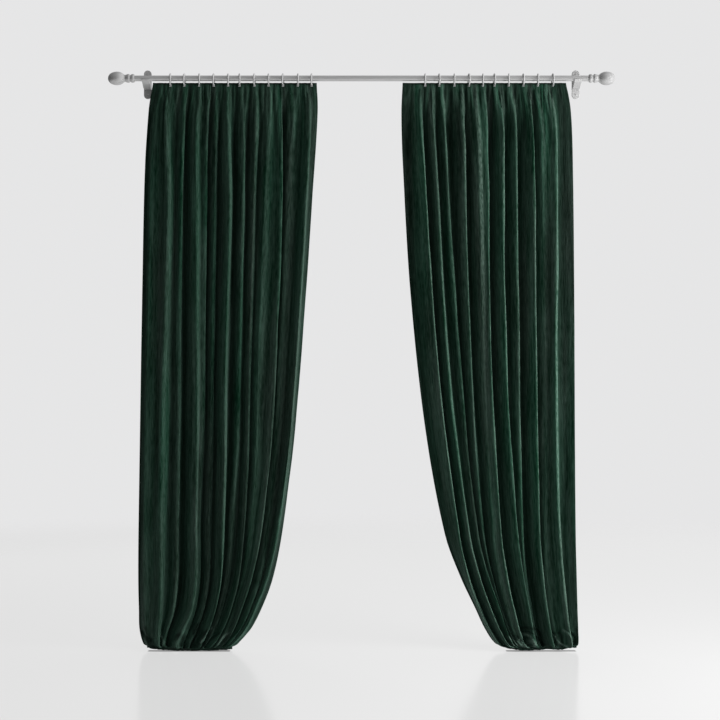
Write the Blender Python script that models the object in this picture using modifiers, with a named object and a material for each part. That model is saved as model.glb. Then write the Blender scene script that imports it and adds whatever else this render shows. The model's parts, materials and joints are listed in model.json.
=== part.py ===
"""A pair of velvet drapes on a ringed metal rod.

Each drape is one sheet that hangs in deep folds from its rings, sweeps in to the outer corner
and is held just above the floor by a band of the same velvet.

Frame, in metres: X runs along the rod, -Y points into the room, +Z is up.
The wall is the plane Y = 0, and Z = 0 is the height of the rod's axis.
"""

import math
from collections import namedtuple

import bmesh
import bpy
import numpy as np
from mathutils import Matrix, Vector

COLLECTION = "velvet_drapes_on_rod"

# Rod, rings and brackets
CLEARANCE = 0.0003          # gap between pieces that touch
RING_SEAT = 0.0005          # gap from the rod to a ring's crown, whose facets come nearer
ROD_RADIUS = 0.0125
ROD_BORE = 0.0110           # inner radius of the tube
ROD_HALF = 0.998            # half the tube's length
STANDOFF = 0.072            # wall to the rod's axis
RING_OUTER = 0.0285         # ring's outer radius
RING_DEEP = 0.0090          # ring section, measured from the bore outwards
RING_WIDE = 0.0075          # ring section, measured along the rod
BRACKET_X = 0.950
PLATE_WIDTH, PLATE_HEIGHT, PLATE_THICK = 0.034, 0.127, 0.006
PLATE_CENTRE_Z = -0.0166
ARM_WIDTH = 0.032
ARM_LIP = STANDOFF + ROD_RADIUS + 0.0045    # how far the arm's lip stands out from the wall
SCREW_OFFSET = 0.0444       # screws sit this far above and below the plate's centre
SCREW_HEAD, SCREW_DOME, SCREW_SHANK = 0.0044, 0.0026, 0.0020

# Cloth
CLOTH = 0.0022              # thickness of the velvet, pile included
HEADING_TOP = -0.0195
HOLE_TOP, HOLE_BOTTOM = -0.0255, -0.0358
HOLE_HALF = 0.0048          # half the width of the slit that a ring passes through
GATHER_DEPTH = 0.012        # front to back depth of the gathers where the rings pass
GATHER_END = -0.145         # the gathers have merged into the folds at this height
LEFT_FULLNESS = 0.80        # below 1 makes the folds' ridges broad on their left
RIGHT_FULLNESS = 0.62       # the same on a ridge's right side
LEAN = 0.008                # how far the ridges lean to the right and the valleys to the left
CREST = 0.013               # a ridge's crest lies this far left of the edge that the tables give
HEM = -2.5185
BAND_THICK = 0.0022
BAND_TOP, BAND_BOTTOM = -2.5095, -2.5190

# Share of a gap, from one ridge to the next, at which the columns of the sheet stand
GAP_COLUMNS = (0.075, 0.20, 0.35, 0.50, 0.65, 0.80, 0.925)
RIDGE_FLAT = GAP_COLUMNS[0]

# Heights at which the fold tables give each ridge's place
RIDGE_LEVELS = (-0.16, -0.55, -1.33, -1.95, -2.32, -2.48)

# Finial's turned outline from the rod outwards: distance from the tube's end, radius
FINIAL_OUTLINE = (
    (CLEARANCE, 0.0135),
    (0.0025, 0.0172),
    (0.0080, 0.0188),
    (0.0145, 0.0180),
    (0.0180, 0.0150),
    (0.0215, 0.0150),
    (0.0240, 0.0186),
    (0.0300, 0.0190),
    (0.0380, 0.0166),
    (0.0425, 0.0150),
)
BALL_START, BALL_LENGTH, BALL_RADIUS = 0.0425, 0.0755, 0.0295
BALL_WIDEST = 0.47          # share of the ball's length at which it is widest
BALL_NECK = 0.16            # share of a half turn that the neck cuts off the ball's outline
BALL_FULLNESS = 0.9         # below 1 fills the outline out towards the pole
SPIGOT_LENGTH, SPIGOT_EDGE = 0.030, 0.001

# Bracket arm's side outline, from the plate out along its underside and back along its top:
# distance from the wall, height
ARM_OUTLINE = (
    (0.003, -0.0030),
    (0.003, -0.0400),
    (0.016, -0.0395),
    (0.032, -0.0350),
    (0.050, -0.0280),
    (0.066, -0.0225),
    (0.080, -0.0175),
    (ARM_LIP, -0.0095),
    (ARM_LIP, -0.0055),
    (ARM_LIP - 0.002, -0.0035),
    (0.055, -0.0035),
    (0.045, -0.0030),
)

# Screw's turned outline: height as a share of the dome, radius as a share of the head
SCREW_CROWN = ((1.00, 0.00), (0.85, 0.55), (0.45, 0.90))

# One ridge of a drape: where its ring is on the rod and the ring's turn in degrees (none where no
# ring carries the ridge), its right edge's share of the drape's width and its share of the full
# depth at RIDGE_LEVELS, and the valley to its right: its place between the two ridges and its
# share of the full depth
Fold = namedtuple("Fold", "ring_x turn shares reaches valley_at valley_depth")

LEFT = {
    "name": "left",
    # height, outer edge, inner edge, fold depth, shift of the folds' middle towards the wall
    "sections": (
        (-0.0195, -0.918, -0.198, 0.060, 0.000),
        (-0.1450, -0.940, -0.194, 0.060, 0.000),
        (-0.3800, -0.957, -0.209, 0.062, 0.000),
        (-0.9500, -0.970, -0.247, 0.064, 0.000),
        (-1.5500, -0.980, -0.294, 0.064, 0.000),
        (-2.0100, -0.987, -0.355, 0.066, 0.000),
        (-2.2000, -0.988, -0.391, 0.068, -0.001),
        (-2.3400, -0.985, -0.444, 0.071, -0.002),
        (-2.4300, -0.982, -0.493, 0.075, -0.004),
        (-2.4920, -0.965, -0.551, 0.072, -0.003),
        (-2.5070, -0.944, -0.576, 0.058, 0.000),
        (-2.5185, -0.944, -0.576, 0.058, 0.000),
    ),
    "folds": (
        Fold(-.884, None, (.055, .060, .065, .070, .080, .090), (.40, .40, .35, .35, .40, .50), .76, .35),
        Fold(-.842, 4, (.120, .158, .158, .170, .194, .189), (.90, .88, .80, .78, .78, .90), .62, .60),
        Fold(-.780, -3, (.225, .243, .264, .290, .299, .260), (.80, .65, .60, .68, .85, .60), .32, 1.00),
        Fold(-.715, 5, (.302, .324, .366, .406, .444, .372), (.85, .85, .95, 1.00, 1.00, .95), .60, .30),
        Fold(-.683, None, (.366, .388, .420, .446, .492, .460), (.70, .55, .45, .35, .30, .45), .45, 1.00),
        Fold(-.651, -2, (.420, .440, .470, .510, .549, .520), (.72, .58, .45, .40, .45, .50), .40, .95),
        Fold(-.588, 3, (.478, .518, .540, .592, .634, .640), (.95, 1.00, 1.00, 1.00, 1.00, .75), .55, 1.00),
        Fold(-.538, 6, (.583, .606, .643, .680, .700, .700), (.78, .70, .42, .25, .20, .45), .50, .85),
        Fold(-.472, -4, (.647, .669, .704, .752, .763, .765), (.98, .65, .50, .60, .90, .80), .45, .70),
        Fold(-.410, 2, (.722, .733, .754, .796, .803, .815), (.80, .72, .62, .65, .45, .60), .55, .30),
        Fold(-.346, -5, (.795, .826, .851, .862, .843, .870), (.95, 1.00, 1.00, 1.00, 1.00, .80), .34, .95),
        Fold(-.281, 3, (.862, .880, .905, .928, .916, .925), (.72, .45, .32, .25, .80, .60), .52, .50),
        Fold(-.220, -3, (.965, .973, .980, .985, .955, .965), (1.00, .95, .95, .95, .95, .80), .50, 1.00),
    ),
    "start_share": 0.5,     # the left edge is in a valley, towards the wall
    "end_share": 0.35,      # the right edge is part of the way back from the last ridge
    "end_reach": 0.45,      # how far forward the fold that the right edge cuts off would be
}

RIGHT = {
    "name": "right",
    "sections": (
        (-0.0195, 0.180, 0.905, 0.060, 0.000),
        (-0.1450, 0.175, 0.928, 0.060, 0.000),
        (-0.3800, 0.182, 0.938, 0.062, 0.000),
        (-0.9500, 0.216, 0.945, 0.064, 0.000),
        (-1.5500, 0.282, 0.948, 0.064, 0.000),
        (-2.0100, 0.368, 0.951, 0.068, 0.000),
        (-2.2000, 0.438, 0.954, 0.070, -0.001),
        (-2.3400, 0.504, 0.957, 0.074, -0.002),
        (-2.4300, 0.547, 0.959, 0.078, -0.004),
        (-2.4920, 0.592, 0.959, 0.074, -0.003),
        (-2.5070, 0.632, 0.946, 0.060, 0.000),
        (-2.5185, 0.632, 0.946, 0.060, 0.000),
    ),
    "folds": (
        Fold(.280, -4, (.117, .127, .128, .112, .060, .070), (.85, .90, .90, .95, .75, .70), .54, 1.00),
        Fold(.341, 3, (.190, .201, .197, .192, .148, .160), (.80, .78, .80, .85, 1.00, .90), .52, .90),
        Fold(.408, -2, (.255, .269, .288, .275, .245, .235), (.80, .60, .48, .40, .80, .70), .40, 1.00),
        Fold(.472, 5, (.362, .359, .344, .316, .285, .280), (.90, .85, .70, .45, .45, .55), .46, 1.00),
        Fold(.534, -3, (.440, .444, .426, .390, .325, .320), (.90, .82, .66, .62, .65, .60), .60, .08),
        Fold(.584, 4, (.500, .490, .457, .424, .368, .360), (.85, .92, 1.00, 1.00, 1.00, .85), .38, 1.00),
        Fold(.648, -5, (.592, .573, .553, .545, .520, .495), (.95, 1.00, 1.00, 1.00, 1.00, .90), .51, .90),
        Fold(.711, 2, (.670, .658, .640, .604, .565, .550), (.85, .85, .75, .60, .30, .45), .34, 1.00),
        Fold(.776, -3, (.766, .757, .738, .712, .685, .682), (.95, 1.00, 1.00, 1.00, 1.00, 1.00), .38, 1.00),
        Fold(.808, None, (.820, .826, .828, .800, .770, .775), (.75, .55, .42, .38, .35, .50), .50, .20),
        Fold(.841, 4, (.893, .884, .860, .852, .869, .890), (1.00, 1.00, 1.00, 1.00, 1.00, 1.00), .40, .72),
    ),
    "start_share": 0.5,
    "end_share": 0.92,
    "end_reach": 0.32,
}


# ---------------------------------------------------------------- scene, materials and helpers


def clear_scene():
    for obj in list(bpy.data.objects):
        bpy.data.objects.remove(obj, do_unlink=True)


def new_collection(name):
    group = bpy.data.collections.new(name)
    bpy.context.scene.collection.children.link(group)
    return group


def new_material(name, colour, roughness, metallic):
    material = bpy.data.materials.new(name)
    material.use_nodes = True
    shader = material.node_tree.nodes["Principled BSDF"]
    shader.inputs["Base Color"].default_value = (*colour, 1.0)
    shader.inputs["Roughness"].default_value = roughness
    shader.inputs["Metallic"].default_value = metallic
    return material


def velvet(name):
    return new_material(name, (0.008, 0.030, 0.020), 0.85, 0.0)


def satin_metal(name):
    return new_material(name, (0.60, 0.60, 0.60), 0.38, 1.0)


def add_mesh(name, mesh, group, material=None):
    obj = bpy.data.objects.new(name, mesh)
    group.objects.link(obj)
    if material:
        mesh.materials.append(material)
    return obj


def add_cutter(name, mesh, group):
    obj = add_mesh(name, mesh, group)
    obj.display_type = "WIRE"
    obj.hide_render = True
    return obj


def mesh_from(bm, name):
    mesh = bpy.data.meshes.new(name)
    bm.to_mesh(mesh)
    bm.free()
    return mesh


def boolean(obj, cutter, operation):
    modifier = obj.modifiers.new(cutter.name, "BOOLEAN")
    modifier.operation = operation
    modifier.solver = "EXACT"
    modifier.object = cutter


def shade_smooth(obj, degrees=40):
    obj.data.shade_smooth()
    obj.data.set_sharp_from_angle(angle=math.radians(degrees))


def turned(name, outline, steps, group, material, closed=False):
    """A profile of (height, radius) points turned about the object's Z axis."""
    bm = bmesh.new()
    verts = [bm.verts.new((radius, 0.0, height)) for height, radius in outline]
    for first, second in zip(verts, verts[1:]):
        bm.edges.new((first, second))
    if closed:
        bm.edges.new((verts[-1], verts[0]))
    obj = add_mesh(name, mesh_from(bm, name), group, material)
    screw = obj.modifiers.new("Turn", "SCREW")
    screw.steps = steps
    screw.render_steps = steps
    screw.use_merge_vertices = True
    screw.merge_threshold = 0.00001
    screw.use_smooth_shade = True
    return obj


def cylinder_mesh(name, radius, length, sides, axis):
    """A plain cylinder about the origin, along X or Y."""
    bm = bmesh.new()
    bmesh.ops.create_cone(
        bm, cap_ends=True, segments=sides, radius1=radius, radius2=radius, depth=length
    )
    turn = Matrix.Rotation(math.pi / 2, 4, "Y" if axis == "X" else "X")
    bmesh.ops.transform(bm, matrix=turn, verts=bm.verts)
    return mesh_from(bm, name)


def mesh_of_curve(curve, name):
    """The closed mesh of a curve data block, its caps welded to its sides."""
    holder = bpy.data.objects.new(name + "_outline", curve)
    bpy.context.scene.collection.objects.link(holder)
    depsgraph = bpy.context.evaluated_depsgraph_get()
    mesh = bpy.data.meshes.new_from_object(holder.evaluated_get(depsgraph))
    bpy.data.objects.remove(holder, do_unlink=True)
    bm = bmesh.new()
    bm.from_mesh(mesh)
    bmesh.ops.remove_doubles(bm, verts=bm.verts, dist=0.00001)
    bm.to_mesh(mesh)
    bm.free()
    return mesh


def flat_outline_mesh(points, thickness, name, bevel=0.0):
    """A closed outline in the curve's own XY plane, given a thickness along its Z."""
    curve = bpy.data.curves.new(name, "CURVE")
    curve.dimensions = "2D"
    curve.fill_mode = "BOTH"
    curve.extrude = thickness / 2 - bevel
    curve.bevel_depth = bevel
    curve.bevel_resolution = 1
    curve.offset = -bevel
    spline = curve.splines.new("POLY")
    spline.points.add(len(points) - 1)
    for point, (x, y) in zip(spline.points, points):
        point.co = (x, y, 0.0, 1.0)
    spline.use_cyclic_u = True
    return mesh_of_curve(curve, name)


def arc(centre, radius, start, end, count):
    """Points along an arc, angles in degrees, both ends included."""
    points = []
    for i in range(count + 1):
        angle = math.radians(start + (end - start) * i / count)
        points.append((centre[0] + radius * math.cos(angle), centre[1] + radius * math.sin(angle)))
    return points


# ---------------------------------------------------------------- the draped cloth


def smooth_table(rows, height):
    """The columns of a table of rows (height, values...) at a height, by a cubic through the rows."""
    if height >= rows[0][0]:
        return rows[0][1:]
    if height <= rows[-1][0]:
        return rows[-1][1:]
    i = next(i for i in range(len(rows) - 1) if rows[i + 1][0] <= height)
    before, low, high, after = rows[max(i - 1, 0)], rows[i], rows[i + 1], rows[min(i + 2, len(rows) - 1)]
    span = high[0] - low[0]
    t = (height - low[0]) / span
    result = []
    for k in range(1, len(low)):
        slope_low = (high[k] - before[k]) / (high[0] - before[0])
        slope_high = (after[k] - low[k]) / (after[0] - low[0])
        result.append(
            (1 + 2 * t) * (1 - t) ** 2 * low[k]
            + t * (1 - t) ** 2 * span * slope_low
            + t * t * (3 - 2 * t) * high[k]
            - t * t * (1 - t) * span * slope_high
        )
    return result


def merged(height):
    """0 in the heading, 1 where its gathers have merged into the folds."""
    t = (HOLE_BOTTOM - height) / (HOLE_BOTTOM - GATHER_END)
    t = min(max(t, 0.0), 1.0)
    return t * t * (3 - 2 * t)


def columns_of(panel):
    """For every column of the sheet its gap's number, its share of the gap from one ridge to the
    next, and the shares at which the gap starts and ends."""
    columns = []
    last = len(panel["folds"])
    for gap in range(last + 1):
        low = panel["start_share"] if gap == 0 else 0.0
        high = panel["end_share"] if gap == last else 1.0
        shares = [share for share in GAP_COLUMNS if low < share < high]
        if gap == 0:
            shares.insert(0, low)
        if gap == last:
            shares.append(high)
        columns += [(gap, share, low, high) for share in shares]
    gaps, shares, low, high = np.array(columns).T
    return gaps.astype(int), shares, low, high


def ridges_at(panel, height):
    """The sheet's two edges and every ridge between them: X, and share of the full depth."""
    left, right, _, _ = smooth_table(panel["sections"], height)
    xs, reaches = [left], [0.0]
    for fold in panel["folds"]:
        share, reach = smooth_table(list(zip(RIDGE_LEVELS, fold.shares, fold.reaches)), height)
        xs.append(left + share * (right - left) - CREST)
        reaches.append(reach)
    return np.array(xs + [right]), np.array(reaches + [panel["end_reach"]])


def spread(panel, ridge_x, flat, bend):
    """X of every column, a little way on each side of a ridge kept for its flat crest."""
    gaps, shares, low, high = columns_of(panel)
    x_a, x_b = ridge_x[gaps], ridge_x[gaps + 1]
    first, last = low > 0, high < 1
    start_x, end_x = np.where(first, x_a, x_a + flat), np.where(last, x_b, x_b - flat)
    start_s, end_s = np.where(first, low, RIDGE_FLAT), np.where(last, high, 1 - RIDGE_FLAT)
    along = (shares - start_s) / (end_s - start_s)
    return start_x + (end_x - start_x) * (along + bend * along * (1 - along))


def section_points(panel, height):
    """The sheet's middle line at a height, as (x, y) from its left edge to its right one."""
    gaps, shares, low, high = columns_of(panel)
    folds = panel["folds"]
    left, right, depth, shift = smooth_table(panel["sections"], height)
    ridge_x, reaches = ridges_at(panel, height)
    valley_at = np.array([0.5] + [fold.valley_at for fold in folds])[gaps]
    valley_depth = np.array([1.0] + [fold.valley_depth for fold in folds])[gaps]
    fullness = np.where(shares < 0.5, RIGHT_FULLNESS, LEFT_FULLNESS)
    wave = 1 - valley_depth * (1 - ((1 + np.cos(2 * np.pi * shares)) / 2) ** fullness)
    along = (shares - low) / (high - low)
    along = along * along * (3 - 2 * along)
    fold_x = spread(panel, ridge_x, RIDGE_FLAT * (ridge_x[gaps + 1] - ridge_x[gaps]), 4 * (valley_at - 0.5))
    rings_x = np.array([left, *(fold.ring_x for fold in folds), right])
    heading_x = spread(panel, rings_x, HOLE_HALF, 0.0)
    blend = merged(height)
    x = heading_x + blend * (fold_x - heading_x)
    forward = (reaches[gaps] + (reaches[gaps + 1] - reaches[gaps]) * along) * wave
    forward = np.interp(x, fold_x, forward)
    # Two gathers to a gap, flat where a ring passes
    phase = (np.minimum(shares, 1 - shares) - RIDGE_FLAT) / (0.5 - RIDGE_FLAT)
    gather_y = GATHER_DEPTH * (1 - np.cos(2 * np.pi * phase)) / 2
    fold_y = depth / 2 - depth * forward + shift
    inside = (x > left) & (x < right)
    x = x + np.where(inside, blend * LEAN * (2 * forward - 1), 0.0)
    y = -STANDOFF + blend * fold_y + (1 - blend) * gather_y
    return list(zip(x.tolist(), y.tolist()))


def sheet_heights(panel):
    heights = [HEADING_TOP, HOLE_TOP, HOLE_BOTTOM]
    heights += [row[0] for row in panel["sections"] if row[0] < HOLE_BOTTOM]
    return heights


def ring_columns(panel):
    """The number of the sheet's column just left of each ring."""
    first = 1 + sum(share > panel["start_share"] for share in GAP_COLUMNS)
    numbered = enumerate(panel["folds"])
    return [first - 1 + len(GAP_COLUMNS) * k for k, fold in numbered if fold.turn is not None]


def drape(panel, group):
    """One folded sheet with a slit for each ring near its top edge."""
    heights = sheet_heights(panel)
    bm = bmesh.new()
    grid = []
    for height in heights:
        grid.append([bm.verts.new((x, y, height)) for x, y in section_points(panel, height)])
    slits = ring_columns(panel)
    slit_row = heights.index(HOLE_TOP)
    for i in range(len(heights) - 1):
        for j in range(len(grid[0]) - 1):
            if i == slit_row and j in slits:
                continue
            bm.faces.new((grid[i][j], grid[i + 1][j], grid[i + 1][j + 1], grid[i][j + 1]))
    name = "drape_" + panel["name"]
    obj = add_mesh(name, mesh_from(bm, name), group, velvet(name))
    solidify = obj.modifiers.new("Thickness", "SOLIDIFY")
    solidify.thickness = CLOTH
    solidify.offset = 0.0
    shade_smooth(obj, 80)
    return obj


def turn_of(a, b, c):
    """Positive where the path a, b, c turns left."""
    return (b[0] - a[0]) * (c[1] - a[1]) - (b[1] - a[1]) * (c[0] - a[0])


def outermost(points):
    """The convex outline round some points, counter-clockwise."""
    halves = []
    for ordered in (sorted(points), sorted(points, reverse=True)):
        half = []
        for point in ordered:
            while len(half) > 1 and turn_of(half[-2], half[-1], point) <= 0:
                half.pop()
            half.append(point)
        halves += half[:-1]
    return halves


def widened(outline, distance):
    """A convex outline moved outwards by a distance, its corners kept sharp."""
    result = []
    for i, here in enumerate(outline):
        before = Vector(outline[i - 1])
        here = Vector(here)
        after = Vector(outline[(i + 1) % len(outline)])
        into = (here - before).normalized()
        out = (after - here).normalized()
        normal_a = Vector((into.y, -into.x))
        normal_b = Vector((out.y, -out.x))
        result.append(here + (normal_a + normal_b) * distance / (1 + normal_a.dot(normal_b)))
    return result


def tieback_band(panel, group):
    """A flat closed band drawn tight round the outermost folds of the foot."""
    reach = CLOTH / 2 + CLEARANCE + BAND_THICK / 2
    outline = widened(outermost(section_points(panel, HEM)), reach)
    bm = bmesh.new()
    low = [bm.verts.new((x, y, BAND_BOTTOM)) for x, y in outline]
    high = [bm.verts.new((x, y, BAND_TOP)) for x, y in outline]
    for i in range(len(outline)):
        j = (i + 1) % len(outline)
        bm.faces.new((low[i], low[j], high[j], high[i]))
    name = "tieback_" + panel["name"]
    obj = add_mesh(name, mesh_from(bm, name), group, velvet(name))
    solidify = obj.modifiers.new("Thickness", "SOLIDIFY")
    solidify.thickness = BAND_THICK
    solidify.offset = 0.0
    solidify.use_even_offset = True
    return obj


# ---------------------------------------------------------------- rod, finials, rings, brackets


def rod(group):
    outline = (
        (ROD_HALF, ROD_RADIUS),
        (-ROD_HALF, ROD_RADIUS),
        (-ROD_HALF, ROD_BORE),
        (ROD_HALF, ROD_BORE),
    )
    obj = turned("rod", outline, 32, group, satin_metal("rod"), closed=True)
    obj.rotation_euler = (0.0, math.pi / 2, 0.0)
    obj.location = (0.0, -STANDOFF, 0.0)


def ball_outline(count):
    """The egg-shaped ball from its collar to its pole, as (distance, radius)."""
    middle = BALL_START + BALL_WIDEST * BALL_LENGTH
    end = BALL_START + BALL_LENGTH
    points = []
    for i in range(1, count):
        angle = math.pi * (BALL_NECK + (1 - BALL_NECK) * i / count)
        half = middle - BALL_START if angle < math.pi / 2 else end - middle
        radius = BALL_RADIUS * math.sin(angle) ** BALL_FULLNESS
        points.append((middle - half * math.cos(angle), radius))
    points.append((end, 0.0))
    return points


def finial(side, group):
    name = "finial_right" if side > 0 else "finial_left"
    spigot = ROD_BORE - CLEARANCE
    outline = [
        (-SPIGOT_LENGTH, 0.0),
        (-SPIGOT_LENGTH, spigot - SPIGOT_EDGE),
        (-SPIGOT_LENGTH + SPIGOT_EDGE, spigot),
        (CLEARANCE, spigot),
        *FINIAL_OUTLINE,
        *ball_outline(8),
    ]
    outline.reverse()
    obj = turned(name, outline, 20, group, satin_metal(name))
    obj.rotation_euler = (0.0, side * math.pi / 2, 0.0)
    obj.location = (side * ROD_HALF, -STANDOFF, 0.0)


def rings(group):
    bore = RING_OUTER - RING_DEEP
    centre_z = ROD_RADIUS + RING_SEAT - bore
    bpy.ops.mesh.primitive_torus_add(
        major_segments=18,
        minor_segments=6,
        major_radius=RING_OUTER - RING_DEEP / 2,
        minor_radius=RING_DEEP / 2,
    )
    pattern = bpy.context.object
    shape = pattern.data
    bpy.data.objects.remove(pattern, do_unlink=True)
    narrow = Matrix.Diagonal((1.0, 1.0, RING_WIDE / RING_DEEP, 1.0))
    shape.transform(Matrix.Rotation(math.pi / 2, 4, "Y") @ narrow)
    shape.shade_smooth()
    for panel in (LEFT, RIGHT):
        carried = [fold for fold in panel["folds"] if fold.turn is not None]
        for number, fold in enumerate(carried, start=1):
            name = f"ring_{panel['name']}_{number:02d}"
            obj = add_mesh(name, shape.copy(), group, satin_metal(name))
            obj.location = (fold.ring_x, -STANDOFF, centre_z)
            obj.rotation_euler = (0.0, 0.0, math.radians(fold.turn))


def plate_mesh():
    straight = PLATE_HEIGHT / 2 - PLATE_WIDTH / 2
    outline = arc((0.0, straight), PLATE_WIDTH / 2, 0, 180, 12)
    outline += arc((0.0, -straight), PLATE_WIDTH / 2, 180, 360, 12)
    mesh = flat_outline_mesh(outline, PLATE_THICK, "plate", bevel=0.0012)
    stand = Matrix.Translation((0.0, -PLATE_THICK / 2, PLATE_CENTRE_Z))
    mesh.transform(stand @ Matrix.Rotation(math.pi / 2, 4, "X"))
    return mesh


def arm_mesh():
    """The arm's side outline, given its width along X."""
    outline = [(-out, height) for out, height in reversed(ARM_OUTLINE)]
    mesh = flat_outline_mesh(outline, ARM_WIDTH, "arm", bevel=0.0010)
    upright = Matrix(((0, 0, 1, 0), (1, 0, 0, 0), (0, 1, 0, 0), (0, 0, 0, 1)))
    mesh.transform(upright)
    return mesh


def brackets(group, cutters):
    arm = add_cutter("arm_shape", arm_mesh(), cutters)
    seat = cylinder_mesh("saddle", ROD_RADIUS + CLEARANCE, 2 * ARM_WIDTH, 32, "X")
    seat = add_cutter("saddle", seat, cutters)
    seat.location = (0.0, -STANDOFF, 0.0)
    holes = []
    for word, side in (("upper", 1), ("lower", -1)):
        hole = cylinder_mesh("hole", SCREW_SHANK + CLEARANCE, 4 * PLATE_THICK, 12, "Y")
        hole = add_cutter("hole_" + word, hole, cutters)
        hole.location = (0.0, 0.0, PLATE_CENTRE_Z + side * SCREW_OFFSET)
        holes.append(hole)
    pattern = add_cutter("bracket_pattern", plate_mesh(), cutters)
    boolean(pattern, arm, "UNION")
    for cutter in (seat, *holes):
        boolean(pattern, cutter, "DIFFERENCE")
    depsgraph = bpy.context.evaluated_depsgraph_get()
    shape = bpy.data.meshes.new_from_object(pattern.evaluated_get(depsgraph))
    for name, x in (("bracket_left", -BRACKET_X), ("bracket_right", BRACKET_X)):
        mesh = shape.copy()
        mesh.materials.clear()
        obj = add_mesh(name, mesh, group, satin_metal(name))
        obj.location = (x, 0.0, 0.0)
        shade_smooth(obj, 30)


def screws(group):
    outline = [(SCREW_DOME * rise, SCREW_HEAD * out) for rise, out in SCREW_CROWN]
    outline += [
        (CLEARANCE, SCREW_HEAD),
        (CLEARANCE, SCREW_SHANK),
        (CLEARANCE - PLATE_THICK, SCREW_SHANK),
        (CLEARANCE - PLATE_THICK, 0.0),
    ]
    for side, x in (("left", -BRACKET_X), ("right", BRACKET_X)):
        for word, sign in (("upper", 1), ("lower", -1)):
            name = f"screw_{side}_{word}"
            obj = turned(name, outline, 12, group, satin_metal(name))
            obj.rotation_euler = (math.pi / 2, 0.0, 0.0)
            obj.location = (x, -PLATE_THICK, PLATE_CENTRE_Z + sign * SCREW_OFFSET)


def main():
    clear_scene()
    group = new_collection(COLLECTION)
    cutters = new_collection("cutters")
    rod(group)
    for side in (-1, 1):
        finial(side, group)
    rings(group)
    brackets(group, cutters)
    screws(group)
    for panel in (LEFT, RIGHT):
        drape(panel, group)
        tieback_band(panel, group)


main()
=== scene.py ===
"""Looks of a pair of velvet drapes that hang from a ringed metal rod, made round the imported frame.

Frame, in metres: X runs along the rod, -Y points into the room, +Z is up, Z = 0 is the rod's axis.
"""

import json
import math
from collections import namedtuple

import bmesh
import bpy
import numpy as np
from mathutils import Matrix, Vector
from mathutils.geometry import convex_hull_2d

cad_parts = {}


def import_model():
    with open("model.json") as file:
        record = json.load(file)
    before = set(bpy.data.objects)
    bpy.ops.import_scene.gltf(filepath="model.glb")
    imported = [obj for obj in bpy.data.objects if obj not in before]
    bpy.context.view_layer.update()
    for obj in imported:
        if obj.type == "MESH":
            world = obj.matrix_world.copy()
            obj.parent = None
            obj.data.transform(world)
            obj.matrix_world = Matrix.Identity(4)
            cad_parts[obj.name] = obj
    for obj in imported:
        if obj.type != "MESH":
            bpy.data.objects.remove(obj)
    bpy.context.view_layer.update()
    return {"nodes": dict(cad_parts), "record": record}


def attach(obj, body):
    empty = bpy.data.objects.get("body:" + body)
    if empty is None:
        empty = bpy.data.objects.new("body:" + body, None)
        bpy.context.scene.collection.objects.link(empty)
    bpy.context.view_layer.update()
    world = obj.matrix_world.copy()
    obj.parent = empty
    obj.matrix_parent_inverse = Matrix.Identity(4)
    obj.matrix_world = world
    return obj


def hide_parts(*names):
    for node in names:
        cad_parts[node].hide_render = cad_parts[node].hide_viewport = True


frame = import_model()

# Shared sizes, as in the part
STANDOFF = 0.072  # wall to the rod's axis
CLOTH = 0.0022  # thickness of the velvet
HEADING_TOP = -0.0195  # the cloth's top edge
HEM = -2.5185  # its lowest edge, before it is lifted
FLOOR = -2.520
RIDGE_LEVELS = (-0.16, -0.55, -1.33, -1.95, -2.32, -2.48)  # heights of the fold tables
RIDGE_FLAT = 0.075  # share of a fold, on each side of its crest, that stays flat

# Heading
HOLE_BOTTOM, HOLE_HALF = -0.0358, 0.0048  # lower end and half width of the part's slits
SLIT_TOP, SLIT_BOTTOM, SLIT_HALF = -0.0257, -0.0353, 0.0042  # slit round a ring
SLIT_REACH = 0.012  # columns lean towards a slit within this of it
GATHER_DEPTH = 0.011  # front to back depth of the heading's gathers
GATHER_EDGE = 0.35  # share of it at the top edge
GATHER_FULL = -0.075  # height at which the gathers are deepest
GATHER_END = -0.165  # height at which they have died out
FOLD_START = -0.290  # height at which the folds have their full depth
HEADING_SHADE = -0.033  # painted shade darkens the heading from its top edge down to here

# One ridge of a drape: where its ring is on the rod and the ring's turn in degrees (none where no
# ring carries the ridge), its right edge's share of the drape's width and its share of the full
# depth at RIDGE_LEVELS, and the valley to its right: its place between the two ridges and its
# share of the full depth
Fold = namedtuple("Fold", "ring_x turn shares reaches valley_at valley_depth")

# A bowed crease at the foot: three places (x, height) that it passes, its half width, and how far
# its middle stands out into the room (below zero for a trough)
Crease = namedtuple("Crease", "start middle end width height")

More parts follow.
